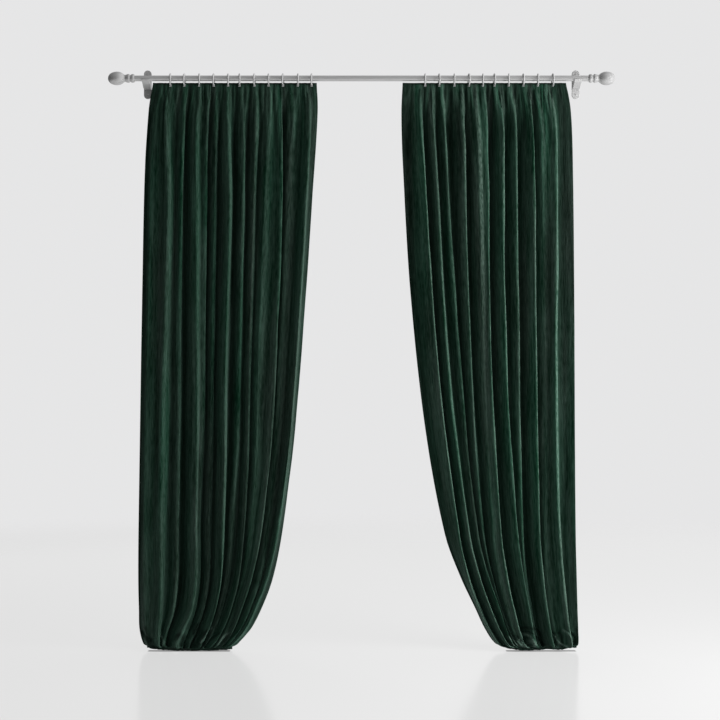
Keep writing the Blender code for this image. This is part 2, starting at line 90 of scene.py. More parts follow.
LEFT = {
    "name": "left",
    "flat": (1.40, 2.53),
    # share of the width, how far the ragged hem is lifted off the floor there
    "hem": ((0.00, 0.010), (0.12, 0.008), (0.22, 0.005), (0.45, 0.001), (0.85, 0.002), (1.00, 0.005)),
    "creases": (
        Crease((-.700, -2.385), (-.724, -2.408), (-.744, -2.445), .0060, -.007),
        Crease((-.664, -2.420), (-.688, -2.452), (-.704, -2.480), .0040, .006),
        Crease((-.676, -2.425), (-.699, -2.452), (-.716, -2.480), .0040, -.006),
        Crease((-.966, -2.440), (-.952, -2.456), (-.930, -2.472), .0100, -.010),
        Crease((-.800, -2.440), (-.822, -2.462), (-.836, -2.490), .0060, -.006),
        Crease((-.625, -2.440), (-.655, -2.468), (-.672, -2.490), .0050, -.006),
        Crease((-.590, -2.440), (-.618, -2.466), (-.632, -2.490), .0060, .005),
        Crease((-.560, -2.430), (-.590, -2.462), (-.604, -2.488), .0050, -.005),
        Crease((-.884, -2.450), (-.872, -2.475), (-.878, -2.495), .0060, .005),
        Crease((-.742, -2.412), (-.716, -2.440), (-.728, -2.492), .0260, -.003),
        Crease((-.690, -2.442), (-.684, -2.470), (-.690, -2.494), .0200, -.003),
        Crease((-.958, -2.425), (-.950, -2.460), (-.936, -2.494), .0180, -.003),
        Crease((-.800, -2.448), (-.786, -2.474), (-.800, -2.496), .0160, -.003),
        Crease((-.584, -2.452), (-.600, -2.474), (-.618, -2.496), .0140, -.003),
    ),
    # height, outer edge, inner edge, fold depth, shift of the folds' middle towards the wall
    "sections": (
        (-0.0195, -0.918, -0.198, 0.060, 0.000),
        (-0.1450, -0.940, -0.194, 0.060, 0.000),
        (-0.3800, -0.957, -0.209, 0.062, 0.000),
        (-0.9500, -0.970, -0.247, 0.064, 0.000),
        (-1.5500, -0.980, -0.294, 0.064, 0.000),
        (-2.0100, -0.987, -0.355, 0.066, 0.000),
        (-2.2000, -0.988, -0.391, 0.068, -0.001),
        (-2.3400, -0.985, -0.444, 0.071, -0.002),
        (-2.4300, -0.982, -0.493, 0.075, -0.004),
        (-2.4920, -0.965, -0.551, 0.072, -0.003),
        (-2.5070, -0.944, -0.576, 0.058, 0.000),
        (-2.5185, -0.944, -0.576, 0.058, 0.000),
    ),
    "folds": (
        Fold(-.884, None, (.055, .060, .065, .070, .080, .090), (.40, .40, .35, .35, .40, .50), .76, .35),
        Fold(-.842, 4, (.120, .158, .158, .170, .194, .189), (.90, .88, .80, .78, .78, .90), .62, .60),
        Fold(-.780, -3, (.225, .243, .264, .290, .299, .260), (.80, .65, .60, .68, .85, .60), .32, 1.00),
        Fold(-.715, 5, (.302, .324, .366, .406, .444, .372), (.85, .85, .95, 1.00, 1.00, .95), .60, .30),
        Fold(-.683, None, (.366, .388, .420, .446, .492, .460), (.70, .55, .45, .35, .30, .45), .45, 1.00),
        Fold(-.651, -2, (.420, .440, .470, .510, .549, .520), (.72, .58, .45, .40, .45, .50), .40, .95),
        Fold(-.588, 3, (.478, .518, .540, .592, .634, .640), (.95, 1.00, 1.00, 1.00, 1.00, .75), .55, 1.00),
        Fold(-.538, 6, (.583, .606, .643, .680, .700, .700), (.78, .70, .42, .25, .20, .45), .50, .85),
        Fold(-.472, -4, (.647, .669, .704, .752, .763, .765), (.98, .65, .50, .60, .90, .80), .45, .70),
        Fold(-.410, 2, (.722, .733, .754, .796, .803, .815), (.80, .72, .62, .65, .45, .60), .55, .30),
        Fold(-.346, -5, (.795, .826, .851, .862, .843, .870), (.95, 1.00, 1.00, 1.00, 1.00, .80), .34, .95),
        Fold(-.281, 3, (.862, .880, .905, .928, .916, .925), (.72, .45, .32, .25, .80, .60), .52, .50),
        Fold(-.220, -3, (.965, .973, .980, .985, .955, .965), (1.00, .95, .95, .95, .95, .80), .50, 1.00),
    ),
    "outer_gap": 0,  # the gap whose cloth is the outer strip with painted shade
    "inner_gap": 13,  # the gap whose cloth has painted shade down the inner edge, or -1 for none
    "lit": 0.31,  # how bright the painted highlights on the ridges' lit edges are
    "tone": 0.89,  # how bright the painted shade leaves the cloth between them
    "valley_tone": (0.0, 0.0),  # painted shade: least tone of the valleys down the drop, and at the foot
    "even_foot": 0.42,  # how much the foot's painted shade is evened out
    "fullness": (0.78, 0.95),  # below 1 makes a ridge broad on its left, and on its right
    "start_share": 0.5,  # the left edge is in a valley, towards the wall
    "end_share": 0.35,  # the right edge is part of the way back from the last ridge
    "end_reach": 0.45,  # how far forward the fold that the right edge cuts off would be
    "seed": 11,
}

RIGHT = {
    "name": "right",
    "flat": (1.40, 2.54),
    "hem": ((0.00, 0.012), (0.12, 0.004), (0.30, 0.002), (0.48, 0.006), (0.60, 0.009), (0.72, 0.004),
            (0.84, 0.010), (1.00, 0.014)),
    "creases": (
        Crease((.706, -2.442), (.744, -2.434), (.776, -2.478), .0040, -.009),
        Crease((.684, -2.474), (.724, -2.446), (.760, -2.484), .0060, .009),
        Crease((.730, -2.493), (.745, -2.472), (.762, -2.497), .0080, .009),
        Crease((.640, -2.456), (.666, -2.474), (.698, -2.494), .0085, .009),
        Crease((.648, -2.440), (.688, -2.457), (.712, -2.478), .0040, -.008),
        Crease((.884, -2.425), (.914, -2.452), (.920, -2.494), .0045, .009),
        Crease((.924, -2.446), (.938, -2.470), (.930, -2.496), .0045, -.009),
        Crease((.842, -2.442), (.856, -2.462), (.842, -2.494), .0040, -.008),
        Crease((.854, -2.450), (.864, -2.478), (.898, -2.494), .0050, .007),
        Crease((.775, -2.425), (.790, -2.446), (.800, -2.486), .0060, -.008),
        Crease((.700, -2.424), (.746, -2.416), (.786, -2.446), .0100, -.003),
        Crease((.646, -2.492), (.690, -2.487), (.720, -2.496), .0080, .004),
        Crease((.770, -2.462), (.786, -2.480), (.800, -2.497), .0140, -.003),
        Crease((.870, -2.440), (.880, -2.460), (.876, -2.494), .0100, -.003),
        Crease((.946, -2.430), (.950, -2.465), (.946, -2.496), .0100, -.003),
    ),
    "sections": (
        (-0.0195, 0.180, 0.905, 0.060, 0.000),
        (-0.1450, 0.175, 0.928, 0.060, 0.000),
        (-0.3800, 0.182, 0.938, 0.062, 0.000),
        (-0.9500, 0.216, 0.945, 0.064, 0.000),
        (-1.5500, 0.282, 0.948, 0.064, 0.000),
        (-2.0100, 0.368, 0.951, 0.068, 0.000),
        (-2.2000, 0.438, 0.954, 0.070, -0.001),
        (-2.3400, 0.504, 0.957, 0.074, -0.002),
        (-2.4300, 0.547, 0.959, 0.078, -0.004),
        (-2.4920, 0.592, 0.959, 0.074, -0.003),
        (-2.5070, 0.632, 0.946, 0.060, 0.000),
        (-2.5185, 0.632, 0.946, 0.060, 0.000),
    ),
    "folds": (
        Fold(.280, -4, (.117, .127, .128, .112, .060, .070), (.85, .90, .90, .95, .75, .70), .54, 1.00),
        Fold(.341, 3, (.190, .201, .197, .192, .148, .160), (.80, .78, .80, .85, 1.00, .90), .52, .90),
        Fold(.408, -2, (.255, .269, .288, .275, .245, .235), (.80, .60, .48, .40, .80, .70), .40, 1.00),
        Fold(.472, 5, (.362, .359, .344, .316, .285, .280), (.90, .85, .70, .45, .45, .55), .46, 1.00),
        Fold(.534, -3, (.440, .444, .426, .390, .325, .320), (.90, .82, .66, .62, .65, .60), .60, .08),
        Fold(.584, 4, (.500, .490, .457, .424, .368, .360), (.85, .92, 1.00, 1.00, 1.00, .85), .38, 1.00),
        Fold(.648, -5, (.592, .573, .553, .545, .520, .495), (.95, 1.00, 1.00, 1.00, 1.00, .90), .51, .90),
        Fold(.711, 2, (.670, .658, .640, .604, .565, .550), (.85, .85, .75, .60, .30, .45), .34, 1.00),
        Fold(.776, -3, (.766, .757, .738, .712, .685, .682), (.95, 1.00, 1.00, 1.00, 1.00, 1.00), .38, 1.00),
        Fold(.808, None, (.820, .826, .828, .800, .770, .775), (.75, .55, .42, .38, .35, .50), .50, .20),
        Fold(.841, 4, (.893, .884, .860, .852, .869, .890), (1.00, 1.00, 1.00, 1.00, 1.00, 1.00), .40, .72),
    ),
    "outer_gap": 11,
    "inner_gap": -1,
    "lit": 1.12,
    "tone": 1.00,
    "valley_tone": (0.24, 0.46),
    "even_foot": 0.50,
    "fullness": (1.05, 1.00),
    "start_share": 0.5,
    "end_share": 0.92,
    "end_reach": 0.32,
    "seed": 29,
}

# Shape of a fold
LEAN = 0.012  # how far the ridges lean to the right and the valleys to the left
CREST = 0.013  # how far a ridge's lit edge, which the tables give, lies right of its crest
CREST_LINE, CREST_WIDTH = -0.0005, 0.0034  # painted highlight line at the lit edge: its shift and half width
GLOW_LINE, GLOW_WIDTH, GLOW_SHARE = -0.0075, 0.0120, 0.62  # wider, fainter painted highlight beside it
CREST_GAIN, CREST_LOSS = 2.0, 0.9  # its brightness is gain times the ridge's reach, less loss
FOLD_STEPS = 22  # columns of the mesh to a fold
FOLD_LEAST = 6  # and at least this many in a fold that an edge cuts off
FOLD_EASE = 0.8  # below 1 opens the folds sooner under the heading
EDGE_FADE = 0.04  # the lean fades out within this of the sheet's edges
COLUMN_CLEAR = 0.02  # least share between the end of a flat crest and another column
FAR, TINY = 1.0, 1e-9  # a length past every fold, and one too short to divide by

# Painted shade of the cloth, apart from the painted highlights along its ridges
STRIP_SHADE = 0.42  # painted shade of the outer strip
STRIP_LEFT, STRIP_RIGHT = (1.0, 0.75), (0.15, 0.45)  # shares of its gap between which it sets in
INNER_EASE = 0.15  # share of the inner gap over which its painted shade sets in
TONE_LEAST = 0.55  # painted shade: how bright the lowest ridge is, as a share of the highest
SOFT_HEADING = -0.420  # above this the folds' painted shades differ less
SOFT_FOOT, SOFT_DROP = -2.250, 0.17  # below this too, fully after this drop
EVEN_HEADING, EVEN_TONE = 0.35, 0.58  # how much the heading's painted shade is evened, and to what tone
INNER_TOP, INNER_FOOT, INNER_SHADE = -1.70, -2.42, 0.35  # painted shade darkens the inner edge's tone to this
LIT_LOSS = 0.55  # share of the painted highlights' brightness that the heading loses

# Tieback band
BAND_THICK, BAND_GAP = 0.0022, 0.0006
BAND_HIGH = 0.0100  # how much of the band shows above its lower edge
BAND_LIFT, BAND_HEM = 0.001, 0.9  # its height over the floor, and its share of the hem's lift
BAND_POINTS, BAND_ROWS = 360, 8
BAND_RUCHE, BAND_WAVE = 0.0011, 0.0016  # how far its ruches stand out and its edges wander
RUCHE_WIDTHS = (0.006, 0.017)
RUCHE_LEAST = 3  # least number of ruches round the band
RUCHE_TURN, WAVE_TURN = 2, 7.0  # how often the ruches and the edges change up the band
WAVE_LEAST = 0.4  # the lower edge's share of the wandering
BAND_GRAIN = 4  # the velvet's marks lie this much closer up the band

# Rings and finials
CLEARANCE = 0.0003
RING_SEAT = 0.0005  # gap from the rod to a ring's crown
ROD_RADIUS, ROD_HALF = 0.0125, 0.998  # the rod's radius and half its length
RING_OUTER, RING_DEEP, RING_WIDE = 0.0285, 0.0090, 0.0075
RING_STEPS, RING_SIDES = 56, 14
FINIAL_OUTLINE = (
    # distance from the rod's end, radius
    (CLEARANCE, 0.0135),
    (0.0025, 0.0172),
    (0.0080, 0.0188),
    (0.0145, 0.0180),
    (0.0180, 0.0150),
    (0.0215, 0.0150),
    (0.0240, 0.0186),
    (0.0300, 0.0190),
    (0.0380, 0.0166),
    (0.0425, 0.0150),
)
BALL_START, BALL_LENGTH, BALL_RADIUS = 0.0425, 0.0755, 0.0295
BALL_WIDEST, BALL_NECK, BALL_FULLNESS = 0.47, 0.16, 0.9
SPIGOT_LENGTH, SPIGOT_RADIUS = 0.030, 0.0107
COLLAR_STEPS, BALL_STEPS, TURNED_SIDES = 40, 30, 64
SEAM = 1e-6  # points nearer than this are joined

# Unevenness of the hung cloth, apart from its folds: height of the bumps, and their width across
# and along the drop
RIPPLES = ((0.0026, 0.024, 0.28), (0.0012, 0.010, 0.12))
RIPPLE_DROP = 0.03  # the bumps grow to their full height within this below the slits

# Small gathers under the heading: their height, width and length, the heights between which they
# die out, and how much painted shade and light they give the cloth
PUCKER_HEIGHT, PUCKER_WIDTH, PUCKER_DROP = 0.0034, 0.010, 0.11
PUCKER_FADE, PUCKER_END, PUCKER_TONE = -0.150, -0.620, 0.45

# Foot
CRUMPLE_HEIGHT, CRUMPLE_SIZE, CRUMPLE_START = 0.0040, 0.026, -2.38  # crumples
CRUMPLE_TONE, CRUMPLE_TONE_SIZE = 0.55, 0.015  # patches of painted shade and light among them
CREASE_START, CREASE_STEPS = -2.360, 15  # the creases lie below this; places tried along each
CREASE_HEIGHT = 1.3  # times the height that the tables give
CREASE_TONE = 0.75  # width of the painted highlight on a crease's top and shade in its trough, as a share of its width
CREASE_LIGHT, CREASE_DARK = 1.10, 0.75  # painted highlight on its top and painted shade in its trough
BAND_TOP, BAND_FADE = -2.5090, 0.010  # the cloth lies smooth below this, under the band
HEM_SHARE = 0.020  # height over which the lifted hem pushes the cloth up
HEM_WAVE, HEM_RAGGED = 0.018, 0.0020  # width and height of the hem's ragged waves
HEM_FINER = 3  # a second wave is this much narrower, and half as high
HEM_FRONT = 0.0060  # how much more the hem is lifted at the front of a fold

# Added to a panel's seed, so that no two noises are alike
PUCKER_SEED, CRUMPLE_SEED, PATCH_SEED, HEM_SEED, BAND_SEED, WAVE_SEED = 5, 9, 12, 20, 40, 3
NOISE_CELLS = 97

# Rows of the cloth's mesh: the height that a stretch ends at, and its number of rows
ROW_STRETCHES = ((SLIT_TOP, 3), (SLIT_BOTTOM, 3), (-0.150, 22), (-2.250, 62), (-2.380, 12), (HEM, 44))

# Colours
VELVET_DARK, VELVET_LIGHT = (0.0008, 0.0120, 0.0054, 1.0), (0.0235, 0.0520, 0.0375, 1.0)
# Painted highlight: pale grey-green on the ridges' lit edges
RIDGE_HIGHLIGHT = (0.0800, 0.1190, 0.0990, 1.0)
SHEEN_TINT = (0.098, 0.205, 0.154, 1.0)
WHITE = (1.0, 1.0, 1.0, 1.0)
FLOOR_COLOUR, GLOSS_COLOUR = (0.08, 0.08, 0.08, 1.0), (0.95, 0.95, 0.95, 1.0)
BACKDROP = (0.791, 0.791, 0.795, 1.0)

# Floor
FLOOR_RADIUS, FLOOR_FADE, FLOOR_SIDES = 6.6, 4.2, 128
FLOOR_GLOW, FLOOR_POLISH, FLOOR_ROUGHNESS = 0.79, 0.20, 0.16
FOOT_MIDDLE, FOOT_HALF = -0.064, 0.022  # strip of floor in a foot with painted shade: its middle and half depth
FOOT_FADE, FOOT_GLOW = 0.008, 0.22  # it fades in over this length, to this glow

# Camera: its distance from the rod, the width it sees there, and its place across and up
CAMERA_DISTANCE, SEEN_WIDTH, SENSOR = 7.2, 3.168, 36.0
CAMERA_X, CAMERA_Z = -0.0075, -1.239

# Light
LIGHT_LEFT, LIGHT_RIGHT, LIGHT_BACK, LIGHT_TOP = 0.07, 0.95, 0.20, 0.25
LIGHT_TURN = -0.5  # the light from the left is at its weakest beyond this direction
LIGHTS = (
    # name, place, target, size, watts
    ("key", (2.7, -1.25, -1.15), (0.1, 0.0, -1.45), (1.3, 2.6), 140.0),
    ("fill", (3.0, -3.6, 0.3), (0.4, 0.0, -1.3), (1.6, 2.6), 70.0),
    ("foot_fill", (1.2, -3.0, -2.0), (0.75, 0.0, -2.4), (1.0, 0.5), 11.0),
    ("back_fill", (-2.4, 3.6, 0.2), (0.0, 0.0, -1.3), (1.6, 2.6), 60.0),
)


# ------ tables and noise


def smooth_table(rows, height):
    """The columns of a table of rows (height, values...) at a height, by a cubic through the rows."""
    if height >= rows[0][0]:
        return rows[0][1:]
    if height <= rows[-1][0]:
        return rows[-1][1:]
    i = next(i for i in range(len(rows) - 1) if rows[i + 1][0] <= height)
    before, low, high, after = rows[max(i - 1, 0)], rows[i], rows[i + 1], rows[min(i + 2, len(rows) - 1)]
    span = high[0] - low[0]
    t = (height - low[0]) / span
    result = []
    for k in range(1, len(low)):
        slope_low = (high[k] - before[k]) / (high[0] - before[0])
        slope_high = (after[k] - low[k]) / (after[0] - low[0])
        result.append(
            (1 + 2 * t) * (1 - t) ** 2 * low[k]
            + t * (1 - t) ** 2 * span * slope_low
            + t * t * (3 - 2 * t) * high[k]
            - t * t * (1 - t) * span * slope_high
        )
    return result


def smoothstep(low, high, value):
    t = np.clip((value - low) / (high - low), 0.0, 1.0)
    return t * t * (3 - 2 * t)


def soft_noise(u, v, seed):
    """Smooth noise from -1 to 1 at places counted in cells."""
    lattice = np.random.RandomState(seed).uniform(-1.0, 1.0, (NOISE_CELLS, NOISE_CELLS))
    u, v = np.broadcast_arrays(u, v)
    column, row = np.floor(u).astype(int), np.floor(v).astype(int)
    a = smoothstep(0.0, 1.0, u - column)
    b = smoothstep(0.0, 1.0, v - row)
    c0, c1 = column % NOISE_CELLS, (column + 1) % NOISE_CELLS
    r0, r1 = row % NOISE_CELLS, (row + 1) % NOISE_CELLS
    low = lattice[r0, c0] * (1 - a) + lattice[r0, c1] * a
    high = lattice[r1, c0] * (1 - a) + lattice[r1, c1] * a
    return low * (1 - b) + high * b


def loop_noise(steps, around, cells, row, seed):
    """Smooth noise from -1 to 1 along a closed line, which meets itself at its start."""
    values = np.random.RandomState(seed + int(10 * row)).uniform(-1.0, 1.0, cells)
    place = steps / around * cells
    low = np.floor(place).astype(int) % cells
    share = smoothstep(0.0, 1.0, place - np.floor(place))
    return values[low] * (1 - share) + values[(low + 1) % cells] * share


# ------ the draped cloth


def ridges_at(panel, height):
    """X and forward reach of the sheet's left edge, of every ridge and of its right edge."""
    left, right, _, _ = smooth_table(panel["sections"], height)
    xs, reaches = [left], [0.0]
    for fold in panel["folds"]:
        share, reach = smooth_table(list(zip(RIDGE_LEVELS, fold.shares, fold.reaches)), height)
        xs.append(left + share * (right - left) - CREST)
        reaches.append(reach)
    return np.array(xs + [right]), np.array(reaches + [panel["end_reach"]])


def columns_of(panel):
    """For every column of the mesh its gap's number, its share of the gap from one ridge to the
    next, and the shares at which the gap starts and ends."""
    columns = []
    last = len(panel["folds"])
    for gap in range(last + 1):
        low = panel["start_share"] if gap == 0 else 0.0
        high = panel["end_share"] if gap == last else 1.0
        count = max(round(FOLD_STEPS * (high - low)), FOLD_LEAST)
        steps = [low + (high - low) * i / count for i in range(count + 1)]
        inner = [s for s in steps if min(abs(s - RIDGE_FLAT), abs(s - 1 + RIDGE_FLAT)) > COLUMN_CLEAR]
        inner += [s for s in (RIDGE_FLAT, 1 - RIDGE_FLAT) if low < s < high]
        inner.sort()
        columns += [(gap, share, low, high) for share in inner[min(gap, 1):]]
    gaps, shares, low, high = np.array(columns).T
    return gaps.astype(int), shares, low, high


def row_heights():
    """Heights of the mesh's rows: close together in the heading and at the foot."""
    heights, top = [HEADING_TOP], HEADING_TOP
    for bottom, count in ROW_STRETCHES:
        heights += [top + (bottom - top) * (i + 1) / count for i in range(count)]
        top = bottom
    return np.array(heights)


def spread(panel, ridge_x, flat, bend):
    """X of every column between ridges, each ridge's crest kept flat for a little way."""
    gaps, shares, low, high = columns_of(panel)
    x_a, x_b = ridge_x[gaps], ridge_x[gaps + 1]
    start_s = np.where(low > 0, low, RIDGE_FLAT)
    end_s = np.where(high < 1, high, 1 - RIDGE_FLAT)
    start_x = np.where(low > 0, x_a, x_a + flat)
    end_x = np.where(high < 1, x_b, x_b - flat)
    along = np.clip((shares - start_s) / (end_s - start_s), 0.0, 1.0)
    along += bend * along * (1 - along)
    x = start_x + (end_x - start_x) * along
    x = np.where(shares < start_s, x_a + flat * shares / RIDGE_FLAT, x)
    return np.where(shares > end_s, x_b - flat * (1 - shares) / RIDGE_FLAT, x)


def edge_strips(panel):
    """For every column, the outer strip's painted shade on it, and its share of the inner edge's painted
    shade.
    """
    gaps, shares, _, _ = columns_of(panel)
    start, end = STRIP_LEFT if panel["outer_gap"] == 0 else STRIP_RIGHT
    outer = 1 - (1 - STRIP_SHADE) * smoothstep(start, end, shares) * (gaps == panel["outer_gap"])
    return outer, smoothstep(0.0, INNER_EASE, shares) * (gaps == panel["inner_gap"])


def ridge_highlight(aside, reach):
    """How bright the painted highlight along a ridge is, by the distance from the ridge's lit edge."""
    line = np.exp(-((aside - CREST_LINE) / CREST_WIDTH) ** 2)
    glow = GLOW_SHARE * np.exp(-((aside - GLOW_LINE) / GLOW_WIDTH) ** 2)
    return np.maximum(line, glow) * np.clip(CREST_GAIN * reach - CREST_LOSS, 0.0, 1.0)


def fold_rows(panel, heights):
    """X and Y of every point of the smooth folds' middle surface, one row of points to a height, the
    painted shade that each gets by its place in its fold, and the painted highlight at a ridge's lit edge."""
    gaps, shares, low, high = columns_of(panel)
    folds = panel["folds"]
    valley_at = np.array([0.5] + [fold.valley_at for fold in folds])[gaps]
    valley_depth = np.array([1.0] + [fold.valley_depth for fold in folds])[gaps]
    on_left, on_right = panel["fullness"]
    fullness = np.where(shares < 0.5, on_right, on_left)
    wave = 1 - valley_depth * (1 - ((1 + np.cos(2 * np.pi * shares)) / 2) ** fullness)
    phase = np.maximum(np.minimum(shares, 1 - shares) - RIDGE_FLAT, 0.0) / (0.5 - RIDGE_FLAT)
    gather = (1 - np.cos(2 * np.pi * phase)) / 2
    along = smoothstep(low, high, shares)
    strip, inner_strip = edge_strips(panel)
    valley, valley_foot = panel["valley_tone"]
    rings_x = [fold.ring_x for fold in folds]
    rows_x, rows_y, rows_tone, rows_crest = [], [], [], []
    for height in heights:
        left, right, depth, shift = smooth_table(panel["sections"], height)
        ridge_x, reaches = ridges_at(panel, height)
        heading_x = spread(panel, np.array([left, *rings_x, right]), HOLE_HALF, 0.0)
        fold_x = spread(panel, ridge_x, np.diff(ridge_x)[gaps] * RIDGE_FLAT, 4 * (valley_at - 0.5))
        reach = reaches[gaps] + (reaches[gaps + 1] - reaches[gaps]) * along
        forward = reach * wave
        folded = smoothstep(HOLE_BOTTOM, FOLD_START, height) ** FOLD_EASE
        gathered = GATHER_DEPTH * (1 - smoothstep(HOLE_BOTTOM, GATHER_END, height))
        gathered *= GATHER_EDGE + (1 - GATHER_EDGE) * smoothstep(HOLE_BOTTOM, GATHER_FULL, height)
        inside = smoothstep(0.0, EDGE_FADE, np.minimum(fold_x - left, right - fold_x))
        rows_x.append(fold_x + folded * inside * LEAN * (2 * forward - 1))
        fold_y = depth / 2 - depth * forward + shift
        rows_y.append(-STANDOFF + folded * fold_y + gathered * np.interp(fold_x, heading_x, gather))
        # Painted shade: darker in the valleys, on ridges that stand back, below the heading's top edge and
        # along the edge strips
        shade = smoothstep(HEADING_TOP, HEADING_SHADE, height)
        inner = 1 - (1 - INNER_SHADE) * smoothstep(INNER_TOP, INNER_FOOT, height) * inner_strip
        tone = panel["tone"] * wave * (TONE_LEAST + (1 - TONE_LEAST) * np.clip(reach, 0.0, 1.0))
        at_foot = smoothstep(SOFT_FOOT, SOFT_FOOT - SOFT_DROP, height)
        in_valley = valley + (valley_foot - valley) * at_foot
        in_valley *= smoothstep(HEADING_SHADE, SOFT_HEADING, height)
        rows_tone.append(shade * strip * inner * np.hypot(tone, in_valley))
        # painted highlight along each ridge's lit edge, by the distance from it
        aside = np.where(gaps > 0, fold_x - ridge_x[gaps] - CREST, FAR)
        rows_crest.append(shade * panel["lit"] * inner * ridge_highlight(aside, reaches[gaps]))
    return np.array(rows_x), np.array(rows_y), np.array(rows_tone), np.array(rows_crest)


def slit_columns(panel, across):
    """For each ring, the numbers of the columns that stand nearest to the two sides of its slit."""
    slits = []
    for fold in panel["folds"]:
        if fold.turn is not None:
            first = int(np.abs(across - (fold.ring_x - SLIT_HALF)).argmin())
            last = int(np.abs(across - (fold.ring_x + SLIT_HALF)).argmin())
            slits.append((fold.ring_x, first, max(last, first + 1)))
    return slits


def open_slits(panel, xs, heights):
    """Moves the columns beside each ring to the sides of its slit, and says which faces it takes."""
    row = int(np.abs(heights - (SLIT_TOP + SLIT_BOTTOM) / 2).argmin())
    near = smoothstep(SLIT_REACH, 0.0, np.maximum(heights - SLIT_TOP, SLIT_BOTTOM - heights))
    taken = np.zeros((len(heights) - 1, xs.shape[1] - 1), bool)
    middles = (heights[1:] + heights[:-1]) / 2
    inside = (middles < SLIT_TOP) & (middles > SLIT_BOTTOM)
    for ring_x, first, last in slit_columns(panel, xs[row]):
        for column, side in ((first, -SLIT_HALF), (last, SLIT_HALF)):
            xs[:, column] += near * (ring_x + side - xs[:, column])
        taken[np.ix_(inside, range(first, last))] = True
    return taken


def arc_lengths(xs, ys):
    """Length along each row of points from its first one."""
    steps = np.hypot(np.diff(xs, axis=1), np.diff(ys, axis=1))
    return np.concatenate([np.zeros((len(xs), 1)), np.cumsum(steps, axis=1)], axis=1)


def puckers(panel, across, heights):
    """The small gathers under the heading, from -1 to 1, which die out down the drop."""
    z = heights[:, None]
    fade = 1 - smoothstep(PUCKER_FADE, PUCKER_END, z)
    return fade * soft_noise(across / PUCKER_WIDTH, z / PUCKER_DROP, panel["seed"] + PUCKER_SEED)


def unevenness(panel, across, heights):
    """How far each point of the cloth stands out from its smooth fold."""
    seed = panel["seed"]
    z = heights[:, None]
    bumps = np.zeros((len(heights), len(across)))
    for number, (height, width, drop) in enumerate(RIPPLES):
        bumps += height * soft_noise(across / width, z / drop, seed + number)
    under_rings = smoothstep(HOLE_BOTTOM, HOLE_BOTTOM - RIPPLE_DROP, z)
    bumps = (bumps + PUCKER_HEIGHT * puckers(panel, across, heights)) * under_rings
    crumples = soft_noise(across / CRUMPLE_SIZE, z / CRUMPLE_SIZE, seed + CRUMPLE_SEED)
    bumps += CRUMPLE_HEIGHT * smoothstep(CRUMPLE_START, HEM, z) * crumples
    return bumps * smoothstep(BAND_TOP, BAND_TOP + BAND_FADE, z)


def crease_depths(panel, xs, heights):
    """How far the foot's creases push each point of the cloth out into the room, and the painted
    highlight on their tops and the painted shade in their troughs."""
    first = int(np.argmax(heights < CREASE_START))
    x, z = xs[first:], np.broadcast_to(heights[first:, None], xs[first:].shape)
    pushed, light, dark = np.zeros(xs.shape), np.zeros(xs.shape), np.zeros(xs.shape)
    for crease in panel["creases"]:
        nearest = np.full(x.shape, FAR)
        for t in np.linspace(0.0, 1.0, CREASE_STEPS):
            weights = ((1 - t) * (1 - 2 * t), 4 * t * (1 - t), t * (2 * t - 1))
            places = (crease.start, crease.middle, crease.end)
            at_x = sum(weight * place[0] for weight, place in zip(weights, places))
            at_z = sum(weight * place[1] for weight, place in zip(weights, places))
            nearest = np.minimum(nearest, (x - at_x) ** 2 + (z - at_z) ** 2)
        pushed[first:] += CREASE_HEIGHT * crease.height * np.exp(-nearest / crease.width**2)
        tone = light if crease.height > 0 else dark
        tone[first:] += np.exp(-nearest / (CREASE_TONE * crease.width) ** 2)
    clear = smoothstep(BAND_TOP, BAND_TOP + BAND_FADE, heights[:, None])
    return pushed * clear, CREASE_LIGHT * light * clear, CREASE_DARK * np.minimum(dark, 1.0) * clear


def hem_lift(panel, xs, ys):
    """How far the cloth's lowest edge is lifted off the floor: ragged, and more towards the room."""
    left, right, depth, _ = panel["sections"][-1][1:]
    shares, lifts = zip(*panel["hem"])
    lift = np.interp((xs - left) / (right - left), shares, lifts)
    seed = panel["seed"] + HEM_SEED
    ragged = soft_noise(xs / HEM_WAVE, np.zeros_like(xs), seed)
    ragged += soft_noise(xs / (HEM_WAVE / HEM_FINER), np.zeros_like(xs), seed + 1) / 2
    forward = np.clip((-STANDOFF + depth / 2 - ys) / depth, 0.0, 1.0)
    return np.maximum(lift + HEM_RAGGED * ragged, 0.0) + HEM_FRONT * forward


def cloth_tone(panel, across, heights, tone, dark):
    """Painted shade and light of folds, puckers, crumples and creases, less uneven in heading and foot."""
    z = heights[:, None]
    size = CRUMPLE_TONE_SIZE
    patches = soft_noise(across / size, z / size, panel["seed"] + PATCH_SEED)
    patches = patches * smoothstep(CRUMPLE_START, HEM, z)
    tone = tone * (1 + PUCKER_TONE * puckers(panel, across, heights) + CRUMPLE_TONE * patches)
    heading = heading_share(heights) * smoothstep(HEADING_TOP, HEADING_SHADE, z)
    foot = smoothstep(SOFT_FOOT, SOFT_FOOT - SOFT_DROP, z)
    even = EVEN_HEADING * heading + panel["even_foot"] * foot
    return np.clip((tone * (1 - even) + EVEN_TONE * even) * (1 - dark), 0.0, 1.0)


def heading_share(heights):
    """1 in the heading, falling to 0 where the folds' painted shade is at its full strength."""
    return 1 - smoothstep(HEADING_SHADE, SOFT_HEADING, heights[:, None])


def new_object(name, data):
    obj = bpy.data.objects.new(name, data)
    bpy.context.scene.collection.objects.link(obj)
    return obj


def add_values(mesh, name, kind, word, values):
    attribute = mesh.attributes.new(name, kind, "POINT")
    attribute.data.foreach_set(word, values.astype(np.float32).ravel())


def add_sheet(name, points, faces, cloth, thickness, material):
    """A sheet of velvet; cloth holds each point's place on the flat cloth, for its marks."""
    mesh = bpy.data.meshes.new(name)
    mesh.from_pydata(points.reshape(-1, 3).tolist(), [], faces)
    add_values(mesh, "cloth", "FLOAT_VECTOR", "vector", cloth)
    mesh.shade_smooth()
    obj = new_object(name, mesh)
    solidify = obj.modifiers.new("Thickness", "SOLIDIFY")
    solidify.thickness = thickness
    solidify.offset = 0.0
    mesh.materials.append(material)
    return obj


